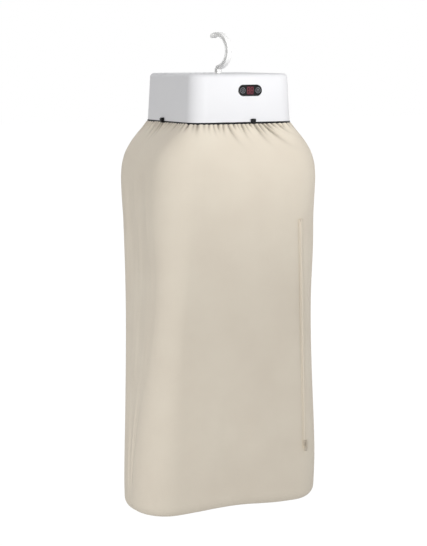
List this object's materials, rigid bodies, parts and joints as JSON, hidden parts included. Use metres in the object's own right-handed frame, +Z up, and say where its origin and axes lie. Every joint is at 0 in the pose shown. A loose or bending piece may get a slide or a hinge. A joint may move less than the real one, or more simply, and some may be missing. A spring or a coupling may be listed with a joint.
{
  "type": "portable clothes dryer",
  "caption": "Hanging clothes dryer: square fan-heater head on a swivel hook, blowing warm air down into a zipped fabric bag that closes round a garment rail.",
  "frame": {"origin": "the seat of the hook: the middle of its inner crest, where the top of the rail that it hangs from touches it", "axes": "+Z up along the hook's swivel axis, -Y out of the front wall with the control panel, +X to the right of someone who faces the panel"},
  "size_m": [0.489, 0.313, 1.142],
  "materials": {
    "white_abs": "satin",
    "black_abs": "satin",
    "gloss_panel": "gloss",
    "key_black": "gloss",
    "nylon": "satin",
    "steel": "satin",
    "zinc_steel": "satin",
    "aluminium": "satin",
    "brass": "satin",
    "mica_board": "matte",
    "circuit_board": "satin",
    "board_parts": "satin",
    "bag_fabric": "matte",
    "elastic": "matte",
    "zip_tape": "matte"
  },
  "bodies": {
    "housing": {"casing": "white_abs", "base_plate": "black_abs", "outlet_grille": "black_abs", "hook_bush": "nylon", "air_duct": "black_abs", "motor_mount": "black_abs", "motor_case": "zinc_steel", "heater_frame": "mica_board", "heater_core": "aluminium", "thermal_cutout": "black_abs", "board_tray": "black_abs", "control_board": "circuit_board", "display_module": "black_abs", "panel_cover": "gloss_panel", "power_switch": "black_abs", "timer_switch": "black_abs", "power_board": "circuit_board", "heater_relay": "board_parts", "filter_capacitor": "board_parts", "inlet_socket": "black_abs", "inlet_pin_live": "brass", "inlet_pin_neutral": "brass", "inlet_pin_earth": "brass", "garment_rail": "steel", "rail_bracket_front": "zinc_steel", "rail_bracket_rear": "zinc_steel", "rail_cap_front": "black_abs", "rail_cap_rear": "black_abs", "case_catch_front": "black_abs", "case_catch_right": "black_abs", "case_catch_rear": "black_abs", "case_catch_left": "black_abs", "base_screw_front_left": "zinc_steel", "base_screw_front_right": "zinc_steel", "base_screw_rear_right": "zinc_steel", "base_screw_rear_left": "zinc_steel"},
    "hook": {"hook": "white_abs", "hook_clip": "steel"},
    "rotor": {"fan_impeller": "black_abs", "motor_shaft": "steel"},
    "power_key": {"power_key": "key_black"},
    "timer_key": {"timer_key": "key_black"},
    "bag": {"bag_shell": "bag_fabric", "bag_neck_band": "elastic", "zip_tape": "zip_tape", "zip_teeth": "zip_tape", "zip_bottom_stop": "zinc_steel", "zip_top_stop": "zinc_steel"},
    "zip_slider": {"zip_slider": "zinc_steel"},
    "zip_pull": {"zip_pull": "zinc_steel"}
  },
  "joints": [
    {"name": "hook_swivel", "type": "hinge", "parent": "housing", "child": "hook", "pos_m": [0, 0, -0.087], "axis": [0, 0, 1], "continuous": true},
    {"name": "fan_spin", "type": "hinge", "parent": "housing", "child": "rotor", "pos_m": [0, 0, -0.144], "axis": [0, 0, -1], "continuous": true},
    {"name": "power_key_press", "type": "slide", "parent": "housing", "child": "power_key", "axis": [0, 0.999, -0.0441], "range_m": [0, 0.0006], "stiffness_N_per_m": 1500, "springref_m": -0.0004},
    {"name": "timer_key_press", "type": "slide", "parent": "housing", "child": "timer_key", "axis": [0, 0.999, -0.0441], "range_m": [0, 0.0006], "stiffness_N_per_m": 1500, "springref_m": -0.0004},
    {"name": "bag_pull_off", "type": "slide", "parent": "housing", "child": "bag", "axis": [0, 0, -1], "range_m": [0, 0.12]},
    {"name": "zip_slide", "type": "slide", "parent": "bag", "child": "zip_slider", "axis": [-0.0728, -0.0783, 0.9943], "range_m": [0, 0.544]},
    {"name": "zip_pull_swing", "type": "hinge", "parent": "zip_slider", "child": "zip_pull", "pos_m": [0.18469, -0.11066, -0.98474], "axis": [-0.9848, -0.1736, 0], "range_deg": [0, 170]}
  ]
}
